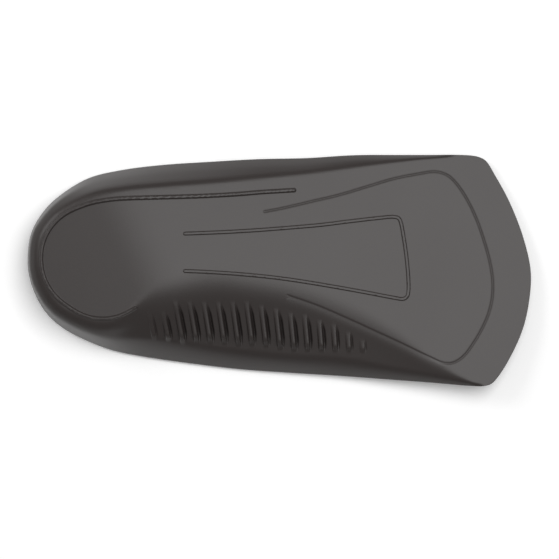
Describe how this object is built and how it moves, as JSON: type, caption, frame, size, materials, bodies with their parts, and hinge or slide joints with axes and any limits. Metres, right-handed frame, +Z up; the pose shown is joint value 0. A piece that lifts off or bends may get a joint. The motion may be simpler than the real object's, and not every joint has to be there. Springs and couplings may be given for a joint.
{
  "type": "shoe insole",
  "caption": "Three-quarter length moulded foam shoe insole with heel cup and ridged arch wall, lying sole side up.",
  "frame": {"origin": "under the middle of the shell, on the surface it lies on", "axes": "+X from the heel to the front edge, +Y to the outer (little toe) side, +Z up out of the side that faces the shoe; the foot side faces down"},
  "size_m": [0.1902, 0.0873, 0.0189],
  "materials": {
    "moulded_foam": "satin dark grey moulded foam with a fine closed-cell grain"
  },
  "bodies": {
    "root": {"insole_body": "moulded_foam"}
  },
  "joints": []
}
